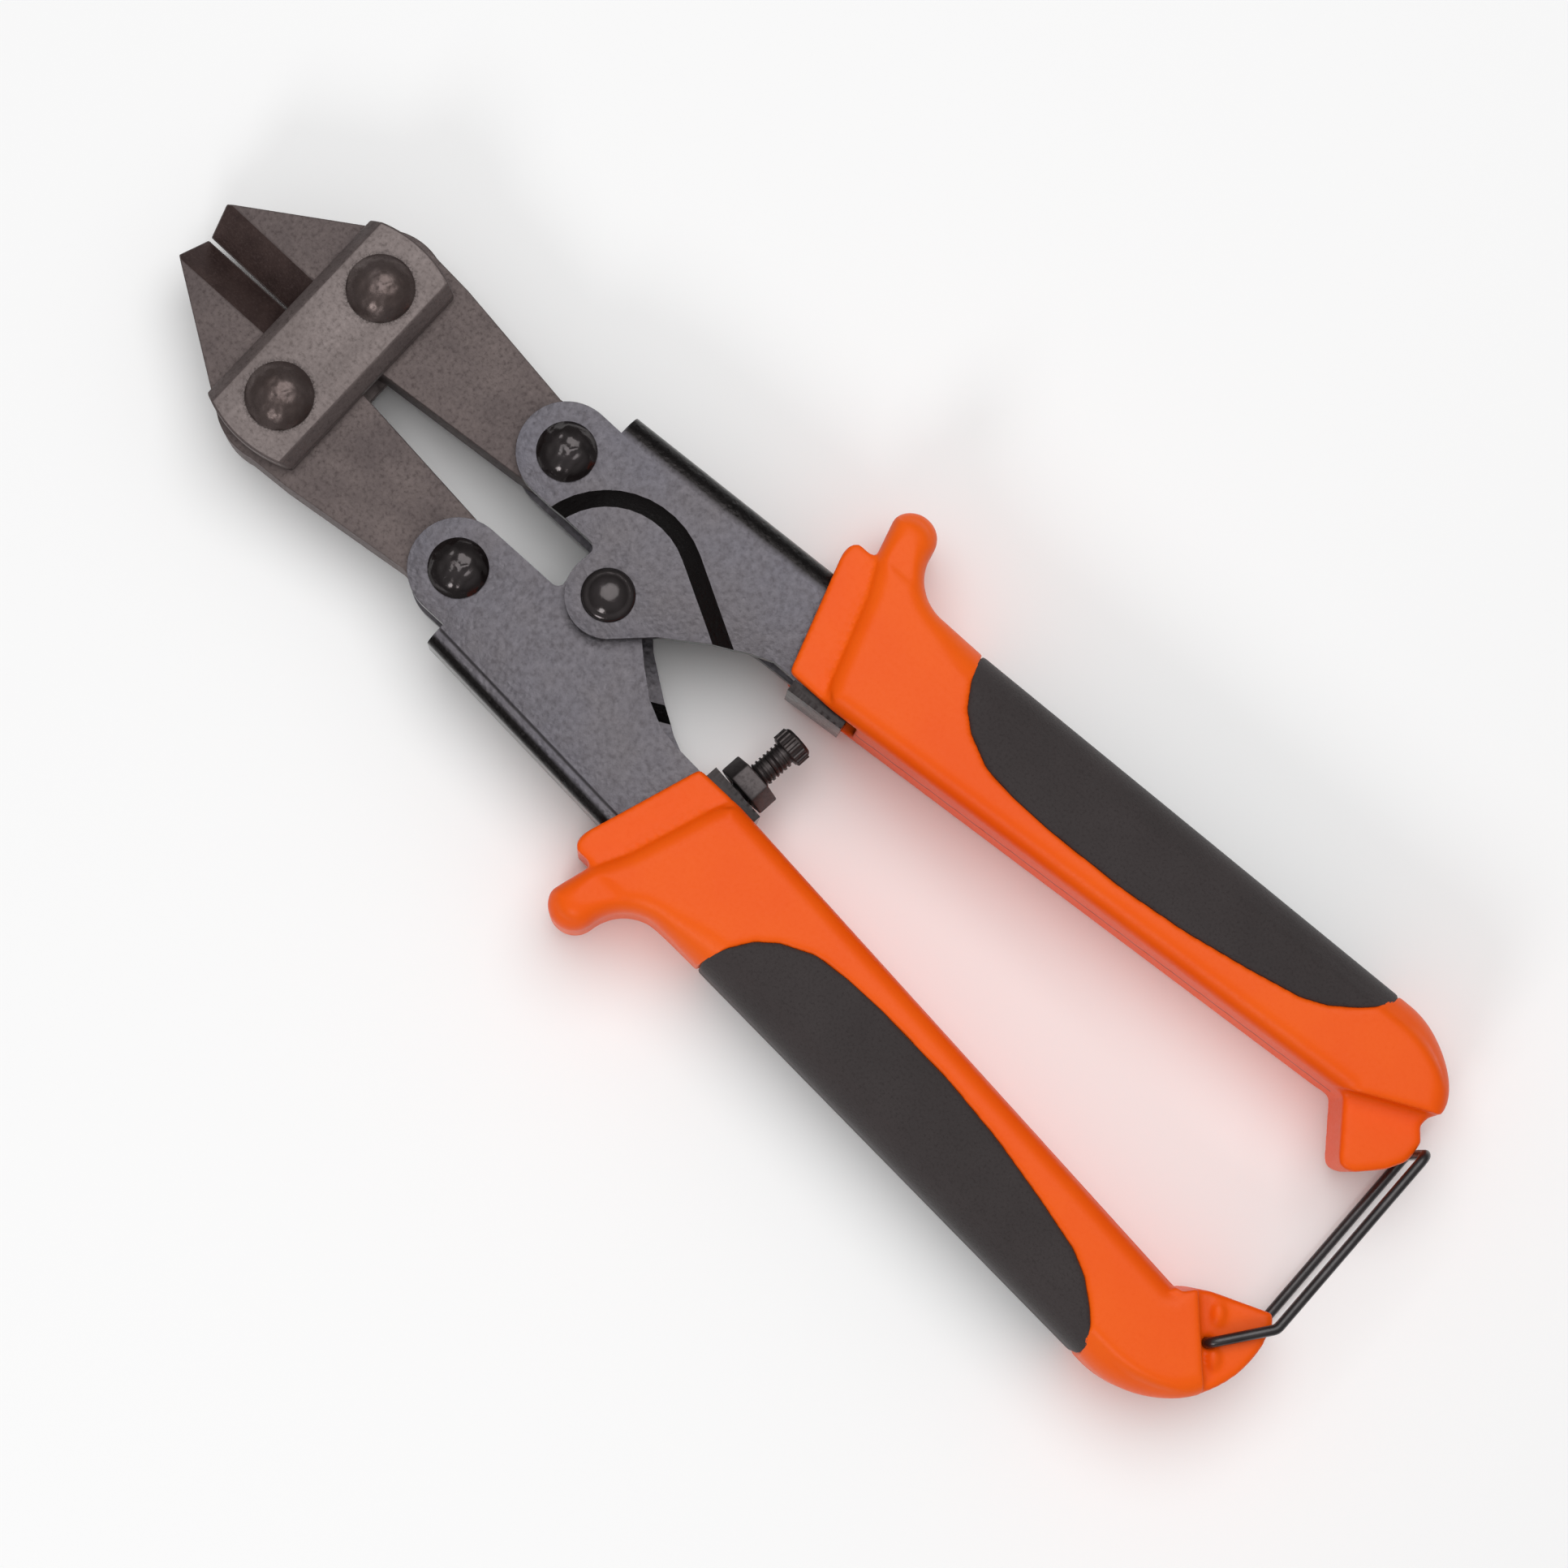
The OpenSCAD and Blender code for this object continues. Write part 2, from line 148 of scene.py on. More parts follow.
def new_group(name, takes, gives, kind="ShaderNodeTree"):
    """An empty node group with named sockets, and its two end nodes."""
    group = bpy.data.node_groups.new(name, kind)
    for label, holds, value in takes:
        made = group.interface.new_socket(label, in_out="INPUT", socket_type="NodeSocket" + holds)
        if value is not None:
            made.default_value = value
    for label, holds in gives:
        group.interface.new_socket(label, in_out="OUTPUT", socket_type="NodeSocket" + holds)
    return group, group.nodes.new("NodeGroupInput"), group.nodes.new("NodeGroupOutput")


def math_node(tree, operation, first, second=0.0):
    made = tree.nodes.new("ShaderNodeMath")
    made.operation = operation
    feed(tree, made.inputs[0], first)
    feed(tree, made.inputs[1], second)
    return made.outputs[0]


def blend_colours(tree, amount, low, high):
    made = tree.nodes.new("ShaderNodeMix")
    made.data_type = "RGBA"
    factor, first_colour, second_colour = made.inputs[0], made.inputs[6], made.inputs[7]
    feed(tree, factor, amount)
    feed(tree, first_colour, low)
    feed(tree, second_colour, high)
    return made.outputs[2]


def stretch(tree, value, low, high, to_low=0.0, to_high=1.0):
    """Maps low to high onto another range, held at its two ends."""
    made = tree.nodes.new("ShaderNodeMapRange")
    for socket, number in zip(made.inputs, (value, low, high, to_low, to_high)):
        feed(tree, socket, number)
    return made.outputs[0]


# The skin of any worked surface: broad clouds, fine specks, pits and an edge colour, which is rubbed
# wear on most parts and painted dark edge shade on the channel arms.
surface_skin, skin_in, skin_out = new_group(
    "surface_skin",
    [
        ("Where", "Vector", None),
        ("Base", "Color", (0.1, 0.1, 0.1, 1)),
        ("Cloud", "Color", (0.12, 0.12, 0.12, 1)),
        ("Speck", "Color", (0.05, 0.05, 0.05, 1)),
        ("Rubbed", "Color", (0.2, 0.2, 0.2, 1)),
        ("Grain size", "Float", 900.0),
        ("Cloud size", "Float", 90.0),
        ("Speck share", "Float", 0.3),
        ("Edge wear", "Float", 0.5),
        ("Dull", "Float", 0.6),
        ("Shiny", "Float", 0.4),
    ],
    [("Color", "Color"), ("Roughness", "Float"), ("Height", "Float")],
)
clouds = add_node(surface_skin, "ShaderNodeTexNoise", Detail=4.0, Roughness=0.6)
grain = add_node(surface_skin, "ShaderNodeTexNoise", Detail=5.0, Roughness=0.7)
pits = surface_skin.nodes.new("ShaderNodeTexVoronoi")
edge_mark = surface_skin.nodes.new("ShaderNodeAttribute")
edge_mark.attribute_name = "edge"
for texture, size in ((clouds, "Cloud size"), (grain, "Grain size"), (pits, "Grain size")):
    surface_skin.links.new(skin_in.outputs["Where"], texture.inputs["Vector"])
    surface_skin.links.new(skin_in.outputs[size], texture.inputs["Scale"])
cloud_mask = stretch(surface_skin, clouds.outputs["Fac"], 0.35, 0.65)
speck_mask = math_node(
    surface_skin,
    "MULTIPLY",
    stretch(surface_skin, grain.outputs["Fac"], 0.52, 0.66),
    skin_in.outputs["Speck share"],
)
edge_wear_and_shade = math_node(
    surface_skin,
    "MULTIPLY",
    math_node(surface_skin, "MULTIPLY", edge_mark.outputs["Fac"], skin_in.outputs["Edge wear"]),
    stretch(surface_skin, clouds.outputs["Fac"], 0.38, 0.6),
)
clouded = blend_colours(surface_skin, cloud_mask, skin_in.outputs["Base"], skin_in.outputs["Cloud"])
specked = blend_colours(surface_skin, speck_mask, clouded, skin_in.outputs["Speck"])
with_edge_tone = blend_colours(surface_skin, edge_wear_and_shade, specked, skin_in.outputs["Rubbed"])
surface_skin.links.new(with_edge_tone, skin_out.inputs["Color"])
roughness = stretch(
    surface_skin, grain.outputs["Fac"], 0.3, 0.7, skin_in.outputs["Shiny"], skin_in.outputs["Dull"]
)
surface_skin.links.new(roughness, skin_out.inputs["Roughness"])
pit_depth = stretch(surface_skin, pits.outputs["Distance"], 0.0, 0.5, 0.0, 0.5)
skin_height = math_node(surface_skin, "ADD", grain.outputs["Fac"], pit_depth)
surface_skin.links.new(skin_height, skin_out.inputs["Height"])


def skinned(name, bump, depth, shell, over=None, **values):
    """A finish whose colour, gloss and relief all come from the shared skin."""
    material = bpy.data.materials.new(name)
    material.use_nodes = True
    tree = material.node_tree
    surface = tree.nodes["Principled BSDF"]
    for label, value in shell.items():
        surface.inputs[label].default_value = value
    where = tree.nodes.new("ShaderNodeTexCoord").outputs["Object"]
    skin = tree.nodes.new("ShaderNodeGroup")
    skin.node_tree = surface_skin
    tree.links.new(where, skin.inputs["Where"])
    for label, value in values.items():
        skin.inputs[label.replace("_", " ")].default_value = value
    if over:
        top = tree.nodes.new("ShaderNodeGroup")
        top.node_tree = over
        tree.links.new(where, top.inputs["Where"])
        for label in ("Color", "Roughness", "Height"):
            tree.links.new(skin.outputs[label], top.inputs[label])
        skin = top
    tree.links.new(skin.outputs["Color"], surface.inputs["Base Color"])
    tree.links.new(skin.outputs["Roughness"], surface.inputs["Roughness"])
    relief = add_node(
        tree, "ShaderNodeBump", Strength=bump, Distance=depth, Height=skin.outputs["Height"]
    )
    tree.links.new(relief.outputs["Normal"], surface.inputs["Normal"])
    return material


phosphate = skinned(
    "phosphated_forging",
    bump=0.5,
    depth=0.00012,
    shell={"Metallic": 0.55, "Specular IOR Level": 0.4},
    Base=shade(90, 80, 79),
    Cloud=shade(104, 93, 91),
    Speck=shade(72, 62, 61),
    Rubbed=shade(70, 60, 58),
    Grain_size=1500.0,
    Cloud_size=120.0,
    Speck_share=0.55,
    Edge_wear=0.5,
    Dull=0.72,
    Shiny=0.5,
)
ground_edge = skinned(
    "ground_cutting_edge",
    bump=0.35,
    depth=0.00006,
    shell={"Metallic": 0.7, "Specular IOR Level": 0.4},
    Base=shade(82, 66, 63),
    Cloud=shade(66, 52, 50),
    Speck=shade(96, 82, 79),
    Rubbed=shade(120, 110, 106),
    Grain_size=2600.0,
    Cloud_size=260.0,
    Speck_share=0.4,
    Edge_wear=0.8,
    Dull=0.55,
    Shiny=0.36,
)


def put_in_scene(name, mesh):
    made = bpy.data.objects.new(name, mesh)
    bpy.context.scene.collection.objects.link(made)
    return made


def settle(made):
    """Turns live modifiers into a plain mesh."""
    bpy.context.view_layer.update()
    worked = made.evaluated_get(bpy.context.evaluated_depsgraph_get())
    mesh = bpy.data.meshes.new_from_object(worked)
    made.modifiers.clear()
    made.data = mesh
    return made


SQUARE_MM = MM * MM
BROAD_FACE = 1.6 * SQUARE_MM
WELD_GAP = 0.002 * MM
FLAT_TURN = math.radians(1.2)
EDGE_TURN = math.radians(28)
SHARP_TURN = math.radians(35)


def mark_edges(mesh):
    """Writes how much each point belongs to a rounded edge, for edge wear and, on the channel arms,
    painted edge shade.
    """
    touches_broad = set()
    for face in mesh.polygons:
        if face.area > BROAD_FACE:
            touches_broad.update(face.vertices)
    layer = mesh.attributes.new("edge", "FLOAT", "POINT")
    for index in range(len(mesh.vertices)):
        layer.data[index].value = 0.0 if index in touches_broad else 1.0


def dressed(node, name, body, finishes, rounding, segments=3, bend=0.0):
    """A finished skin over a designed part: same shape, edges rounded by so many millimetres.

    Where a pressed slope meets a flat face, the rounding is the broader bend.
    """
    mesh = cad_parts[node].data.copy()
    mesh.name = name
    mesh.materials.clear()
    for finish in finishes:
        mesh.materials.append(finish)
    work = bmesh.new()
    work.from_mesh(mesh)
    bmesh.ops.remove_doubles(work, verts=work.verts, dist=WELD_GAP)
    bmesh.ops.dissolve_limit(work, angle_limit=FLAT_TURN, verts=work.verts, edges=work.edges)
    for face in work.faces:
        face.material_index = 0
        face.smooth = True
    widest = max(rounding, bend)
    weights = work.edges.layers.float.new("bevel_weight_edge")
    for edge in work.edges:
        if len(edge.link_faces) != 2 or edge.calc_face_angle(0.0) < EDGE_TURN:
            continue
        steep, level = sorted(abs(face.normal.z) for face in edge.link_faces)
        pressed = bend and 0.5 < steep < 0.95 and level > 0.99
        edge[weights] = (bend if pressed else rounding) / widest
    work.to_mesh(mesh)
    work.free()
    made = put_in_scene(name, mesh)
    round_off = made.modifiers.new("rounding", "BEVEL")
    round_off.width = widest * MM
    round_off.segments = segments
    round_off.limit_method = "WEIGHT"
    round_off.loop_slide = False
    round_off.miter_outer = "MITER_ARC"
    settle(made)
    made.data.set_sharp_from_angle(angle=SHARP_TURN)
    mark_edges(made.data)
    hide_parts(node)
    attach(made, body)
    return made


BEVEL_HEEL = spot(-57, 0).x
SMALLEST_BEVEL = 20 * SQUARE_MM
for side in ("upper", "lower"):
    jaw = dressed(
        side + "_jaw", side + "_jaw_forging", side + "_jaw",
        [phosphate, ground_edge], rounding=0.35,
    )
    for face in jaw.data.polygons:
        slanted = 0.35 < abs(face.normal.z) < 0.97
        if slanted and face.area > SMALLEST_BEVEL and face.center.x < BEVEL_HEEL:
            face.material_index = 1

# ---- strap plates ----
# A plate on each face of the tool holds the two jaw rivets at a fixed distance.
# They are blanked from plate, with the long edges bevelled, and phosphated as the jaws.

JAW_RIVET = (-51.5, 10.1)
JAW_HEAD_RADIUS = 4.75

# A broken dark ring is painted round the foot of each jaw rivet head on the strap plates: painted
# shade where the head meets the plate.
rivet_grime, foot_shade_in, foot_shade_out = new_group(
    "rivet_grime",
    [("Where", "Vector", None), ("Color", "Color", None), ("Roughness", "Float", 0.5),
     ("Height", "Float", 0.0),
     ("Head", "Vector", (JAW_RIVET[0] * MM + PIVOT.x, JAW_RIVET[1] * MM, 0.0)),
     ("Foot", "Float", JAW_HEAD_RADIUS * MM), ("PaintedShade", "Color", (0.02, 0.014, 0.013, 1))],
    [("Color", "Color"), ("Roughness", "Float"), ("Height", "Float")],
)
plate_place = add_node(rivet_grime, "ShaderNodeSeparateXYZ", Vector=foot_shade_in.outputs["Where"])
head_place = add_node(rivet_grime, "ShaderNodeSeparateXYZ", Vector=foot_shade_in.outputs["Head"])
along = math_node(rivet_grime, "SUBTRACT", plate_place.outputs["X"], head_place.outputs["X"])
across = math_node(
    rivet_grime, "SUBTRACT",
    math_node(rivet_grime, "ABSOLUTE", plate_place.outputs["Y"]), head_place.outputs["Y"],
)
reach = math_node(
    rivet_grime, "SQRT",
    math_node(
        rivet_grime, "ADD",
        math_node(rivet_grime, "MULTIPLY", along, along),
        math_node(rivet_grime, "MULTIPLY", across, across),
    ),
)
from_foot = math_node(rivet_grime, "SUBTRACT", reach, foot_shade_in.outputs["Foot"])
ring_breakup = add_node(
    rivet_grime, "ShaderNodeTexNoise",
    Vector=foot_shade_in.outputs["Where"], Scale=4200.0, Detail=3.0, Roughness=0.6,
)
RING_WIDTH = 0.75 * MM
RING_STRENGTH = 0.7
# The ring's colour is painted shade, broken up by fine noise.
ring = math_node(
    rivet_grime, "MULTIPLY",
    stretch(rivet_grime, from_foot, RING_WIDTH, 0.0, 0.0, RING_STRENGTH),
    stretch(rivet_grime, ring_breakup.outputs["Fac"], 0.4, 0.62),
)
rivet_grime.links.new(
    blend_colours(rivet_grime, ring, foot_shade_in.outputs["Color"], foot_shade_in.outputs["PaintedShade"]),
    foot_shade_out.inputs["Color"],
)
rivet_grime.links.new(foot_shade_in.outputs["Roughness"], foot_shade_out.inputs["Roughness"])
rivet_grime.links.new(foot_shade_in.outputs["Height"], foot_shade_out.inputs["Height"])

strap_finish = skinned(
    "phosphated_plate",
    bump=0.4,
    depth=0.0001,
    shell={"Metallic": 0.6, "Specular IOR Level": 0.4},
    over=rivet_grime,
    Base=shade(112, 102, 100),
    Cloud=shade(122, 112, 110),
    Speck=shade(90, 80, 78),
    Rubbed=shade(62, 50, 48),
    Grain_size=1400.0,
    Cloud_size=90.0,
    Speck_share=0.5,
    Edge_wear=0.8,
    Dull=0.66,
    Shiny=0.46,
)
for face_side in ("front", "rear"):
    strap = dressed(
        face_side + "_strap", face_side + "_strap_plate", "jaw_straps",
        [strap_finish, phosphate], rounding=0.3,
    )
    for face in strap.data.polygons:
        if 0.2 < abs(face.normal.z) < 0.97:
            face.material_index = 1

# ---- rivets ----
# Cold-headed steel rivets with hammered domes: dull on the jaws, glossy black elsewhere.
# The centre rivet is spun over instead, which leaves a rim round a smaller dome.

gloss_black = skinned(
    "hammered_black",
    bump=0.35,
    depth=0.0002,
    shell={"Metallic": 0.7, "Specular IOR Level": 0.6, "Coat Weight": 0.4, "Coat Roughness": 0.1},
    Base=shade(38, 31, 31),
    Cloud=shade(50, 43, 44),
    Speck=shade(24, 19, 19),
    Rubbed=shade(90, 86, 84),
    Grain_size=420.0,
    Cloud_size=200.0,
    Speck_share=0.3,
    Edge_wear=0.3,
    Dull=0.24,
    Shiny=0.09,
)


def lathe(name, profile, turns=64):
    """Spins (radius, height) pairs, in millimetres, into a closed solid about Z."""
    work = bmesh.new()
    rings = []
    for radius, height in profile:
        if radius == 0:
            rings.append([work.verts.new((0, 0, height * MM))])
            continue
        rings.append([
            work.verts.new((
                radius * MM * math.cos(2 * math.pi * i / turns),
                radius * MM * math.sin(2 * math.pi * i / turns),
                height * MM,
            ))
            for i in range(turns)
        ])
    for low, high in zip(rings, rings[1:]):
        for i in range(turns):
            j = (i + 1) % turns
            corners = [
                low[i % len(low)], low[j % len(low)], high[j % len(high)], high[i % len(high)]
            ]
            kept = list(dict.fromkeys(corners))
            if len(kept) > 2:
                work.faces.new(kept)
    bmesh.ops.recalc_face_normals(work, faces=work.faces)
    mesh = bpy.data.meshes.new(name)
    work.to_mesh(mesh)
    work.free()
    for face in mesh.polygons:
        face.use_smooth = True
    return mesh


def apply_tree(made, tree, **values):
    """Runs a geometry tree on an object with its named inputs, and keeps the mesh."""
    modifier = made.modifiers.new(tree.name, "NODES")
    modifier.node_group = tree
    for item in tree.interface.items_tree:
        label = item.name.replace(" ", "_")
        if item.in_out == "INPUT" and label in values:
            modifier[item.identifier] = values[label]
    return settle(made)


# Sets one head on each face of the tool, joined by the shank, as riveting leaves it.
rivet_tree, rivet_in, rivet_out = new_group(
    "riveted_through",
    [
        ("Geometry", "Geometry", None),
        ("Front seat", "Float", 7.2 * MM),
        ("Rear seat", "Float", 7.2 * MM),
        ("Shank radius", "Float", 3.0 * MM),
        ("Place", "Vector", None),
        ("Finish", "Material", None),
    ],
    [("Geometry", "Geometry")],
    "GeometryNodeTree",
)


def offset_up(tree, value):
    made = tree.nodes.new("ShaderNodeCombineXYZ")
    tree.links.new(value, made.inputs["Z"])
    return made.outputs[0]


front_head = add_node(
    rivet_tree, "GeometryNodeTransform",
    Geometry=rivet_in.outputs["Geometry"],
    Translation=offset_up(rivet_tree, rivet_in.outputs["Front seat"]),
)
rear_head = add_node(
    rivet_tree, "GeometryNodeTransform",
    Geometry=rivet_in.outputs["Geometry"],
    Translation=offset_up(
        rivet_tree, math_node(rivet_tree, "MULTIPLY", rivet_in.outputs["Rear seat"], -1.0)
    ),
    Rotation=(math.pi, 0.0, 0.0),
)
shank_length = math_node(
    rivet_tree, "ADD", rivet_in.outputs["Front seat"], rivet_in.outputs["Rear seat"]
)
shank = add_node(
    rivet_tree, "GeometryNodeMeshCylinder",
    Vertices=48,
    Radius=rivet_in.outputs["Shank radius"],
    Depth=shank_length,
)
joined = rivet_tree.nodes.new("GeometryNodeJoinGeometry")
for part in (front_head.outputs[0], rear_head.outputs[0], shank.outputs["Mesh"]):
    rivet_tree.links.new(part, joined.inputs[0])
seated = add_node(
    rivet_tree, "GeometryNodeTransform",
    Geometry=joined.outputs[0],
    Translation=rivet_in.outputs["Place"],
)
realised = add_node(rivet_tree, "GeometryNodeRealizeInstances", Geometry=seated.outputs[0])
coated = add_node(
    rivet_tree, "GeometryNodeSetMaterial",
    Geometry=realised.outputs[0],
    Material=rivet_in.outputs["Finish"],
)
rivet_tree.links.new(coated.outputs[0], rivet_out.inputs[0])


def dome(radius, height):
    """Profile of a rivet dome standing on Z = 0, with a small upright lip."""
    steps = 12
    lip = 0.25
    ball = (radius**2 + (height - lip) ** 2) / (2 * (height - lip))
    reach = math.asin(radius / ball)
    profile = [(0, 0), (radius, 0)]
    for i in range(steps):
        angle = reach * (1 - i / steps)
        profile.append((ball * math.sin(angle), height - ball + ball * math.cos(angle)))
    return profile + [(0, height)]


BLOWS_PER_METRE = 700.0
UNTOUCHED_RIM = 0.4 * MM


def hammer(mesh, depth):
    """Dents a head as hammering does, sinking its points but never raising them."""
    for vertex in mesh.vertices:
        if vertex.co.z > UNTOUCHED_RIM:
            blow = noise.noise(vertex.co * BLOWS_PER_METRE)
            vertex.co.z -= depth * MM * abs(blow)


TURNED_SHARP = math.radians(40)


def riveted(node, name, body, place, profile, seats, shank_radius, finish, dents):
    head = lathe(name, profile)
    hammer(head, dents)
    made = put_in_scene(name, head)
    apply_tree(
        made, rivet_tree,
        Front_seat=seats[0] * MM,
        Rear_seat=seats[1] * MM,
        Shank_radius=shank_radius * MM,
        Place=tuple(spot(*place)),
        Finish=finish,
    )
    made.data.set_sharp_from_angle(angle=TURNED_SHARP)
    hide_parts(node)
    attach(made, body)


dull_dome = skinned(
    "phosphated_dome",
    bump=0.3,
    depth=0.0001,
    shell={"Metallic": 0.7, "Specular IOR Level": 0.5},
    Base=shade(80, 68, 65),
    Cloud=shade(90, 79, 77),
    Speck=shade(66, 55, 53),
    Rubbed=shade(120, 110, 108),
    Grain_size=1300.0,
    Cloud_size=160.0,
    Speck_share=0.4,
    Edge_wear=0.3,
    Dull=0.42,
    Shiny=0.24,
)
LINK_RIVET = (-17.7, 10.9)
STRAP_FACE = 7.2
PLATE_FACE = 6.1
LOBE_FACE = 8.2
SHANK_RADIUS = 3.0
CENTRE_SHANK_RADIUS = 2.5
jaw_dome = dome(JAW_HEAD_RADIUS, 2.7)
link_dome = dome(4.2, 2.4)
spun_head = [
    (0, 0), (3.75, 0), (3.75, 0.25), (3.6, 0.5), (3.3, 0.72), (3.0, 0.84), (2.8, 0.88),
    (2.6, 1.0), (2.3, 1.2), (1.85, 1.4), (1.3, 1.56), (0.7, 1.67), (0, 1.7),
]
for side, sign in (("upper", 1), ("lower", -1)):
    riveted(
        side + "_jaw_rivet", side + "_jaw_rivet_domed", "jaw_straps",
        (JAW_RIVET[0], sign * JAW_RIVET[1]), jaw_dome, (STRAP_FACE, STRAP_FACE),
        SHANK_RADIUS, dull_dome, dents=0.26,
    )
    riveted(
        side + "_link_rivet", side + "_link_rivet_domed", side + "_handle",
        (LINK_RIVET[0], sign * LINK_RIVET[1]), link_dome, (PLATE_FACE, PLATE_FACE),
        SHANK_RADIUS, gloss_black, dents=0.3,
    )
riveted(
    "centre_rivet", "centre_rivet_spun", "upper_handle",
    (0, 0), spun_head, (LOBE_FACE, LOBE_FACE + 0.05),
    CENTRE_SHANK_RADIUS, gloss_black, dents=0.05,
)
dressed(
    "centre_spacer", "centre_spacer_sleeve", "upper_handle", [phosphate],
    rounding=0.2,
)

# ---- channel arms ----
# Two stampings of 2 mm sheet from one die, one turned over, folded into a channel.
# Each has a raised lobe that laps over the other arm, and a satin black-oxide finish.

# Painted shade darkens the sheet in a band along the rounded fold at its edge. A fine crease runs
# beside the fold where the arm has no lobe, a bump groove with painted shade in it, and the face of
# the stop tab is serrated.
folded_edge, fold_in, fold_out = new_group(
    "folded_edge",
    [("Where", "Vector", None), ("Color", "Color", None), ("Roughness", "Float", 0.5),
     ("Height", "Float", 0.0), ("FoldShade", "Color", (0.01, 0.008, 0.008, 1))],
    [("Color", "Color"), ("Roughness", "Float"), ("Height", "Float")],
)
sheet_place = add_node(folded_edge, "ShaderNodeSeparateXYZ", Vector=fold_in.outputs["Where"])
off_axis = math_node(folded_edge, "ABSOLUTE", sheet_place.outputs["Y"])
NOSE = -14.0
FOLD_AT_NOSE = 21.2
FOLD_SLOPE = math.tan(math.radians(4))
fold_line = math_node(
    folded_edge, "ADD",
    math_node(folded_edge, "MULTIPLY", sheet_place.outputs["X"], FOLD_SLOPE),
    FOLD_AT_NOSE * MM - FOLD_SLOPE * spot(NOSE, 0).x,
)
from_fold = math_node(folded_edge, "SUBTRACT", fold_line, off_axis)
above = math_node(folded_edge, "SUBTRACT", sheet_place.outputs["Z"], PIVOT.z)
lobed_side = math_node(
    folded_edge, "GREATER_THAN",
    math_node(folded_edge, "MULTIPLY", above, sheet_place.outputs["Y"]), 0.0,
)
behind_nose = stretch(
    folded_edge, sheet_place.outputs["X"], spot(NOSE - 0.3, 0).x, spot(NOSE + 0.3, 0).x
)
BROAD_BAND_FADE = (3.5 * MM, 2.5 * MM)
THIN_BAND_FADE = (1.7 * MM, 1.1 * MM)
broad_band = stretch(folded_edge, from_fold, *BROAD_BAND_FADE)
thin_band = stretch(folded_edge, from_fold, *THIN_BAND_FADE)
# The fold band is painted shade: near black over the rounded fold, broad where the lobe is and thin
# elsewhere.
band = math_node(
    folded_edge, "MULTIPLY", behind_nose,
    stretch(folded_edge, lobed_side, 0.0, 1.0, thin_band, broad_band),
)
CREASE_FROM_FOLD = 2.45 * MM
CREASE_FADE = (0.28 * MM, 0.05 * MM)
CREASE_DARKNESS = 0.8
from_crease = math_node(
    folded_edge, "ABSOLUTE", math_node(folded_edge, "SUBTRACT", from_fold, CREASE_FROM_FOLD)
)
plain_side = math_node(folded_edge, "SUBTRACT", 1.0, lobed_side)
crease = math_node(
    folded_edge, "MULTIPLY",
    math_node(folded_edge, "MULTIPLY", behind_nose, plain_side),
    stretch(folded_edge, from_crease, *CREASE_FADE),
)
# Painted shade on the arms' slopes, read from a per-point share written where the arms are made.
drawn = folded_edge.nodes.new("ShaderNodeAttribute")
drawn.attribute_name = "drawn"
folded_or_drawn = math_node(folded_edge, "MAXIMUM", band, drawn.outputs["Fac"])
# Fold band, slope shade and crease are all painted in the same near-black shade colour.
dark_share = math_node(
    folded_edge, "MAXIMUM",
    folded_or_drawn, math_node(folded_edge, "MULTIPLY", crease, CREASE_DARKNESS),
)
SERRATION_RATE = 5700.0
TAB_START = 26.5
TAB_FACE = 8.3 * MM
wave = math_node(
    folded_edge, "SINE",
    math_node(folded_edge, "MULTIPLY", sheet_place.outputs["X"], SERRATION_RATE),
)
serration = math_node(
    folded_edge, "MULTIPLY", wave, math_node(folded_edge, "LESS_THAN", off_axis, TAB_FACE)
)
on_tab = math_node(
    folded_edge, "GREATER_THAN", sheet_place.outputs["X"], spot(TAB_START, 0).x
)
relief = math_node(
    folded_edge, "ADD",
    math_node(folded_edge, "SUBTRACT", fold_in.outputs["Height"], crease),
    math_node(folded_edge, "MULTIPLY", serration, on_tab),
)
folded_edge.links.new(
    blend_colours(folded_edge, dark_share, fold_in.outputs["Color"], fold_in.outputs["FoldShade"]),
    fold_out.inputs["Color"],
)
EXTRA_GLOSS = 0.14
glossier = math_node(
    folded_edge, "SUBTRACT", fold_in.outputs["Roughness"],
    math_node(folded_edge, "MULTIPLY", folded_or_drawn, EXTRA_GLOSS),
)
folded_edge.links.new(glossier, fold_out.inputs["Roughness"])
folded_edge.links.new(relief, fold_out.inputs["Height"])

# On the arms the near-black edge colour, pushed hard along every rounded edge, is painted shade: a
# dark outline round the arms and their lobes.
black_oxide = skinned(
    "black_oxide_sheet",
    bump=0.42,
    depth=0.00022,
    shell={"Metallic": 0.75, "Specular IOR Level": 0.5},
    over=folded_edge,
    Base=shade(88, 84, 87),
    Cloud=shade(87, 85, 92),
    Speck=shade(76, 71, 74),
    Rubbed=shade(22, 17, 18),
    Grain_size=1100.0,
    Cloud_size=35.0,
    Speck_share=0.35,
    Edge_wear=3.0,
    Dull=0.52,
    Shiny=0.34,
)
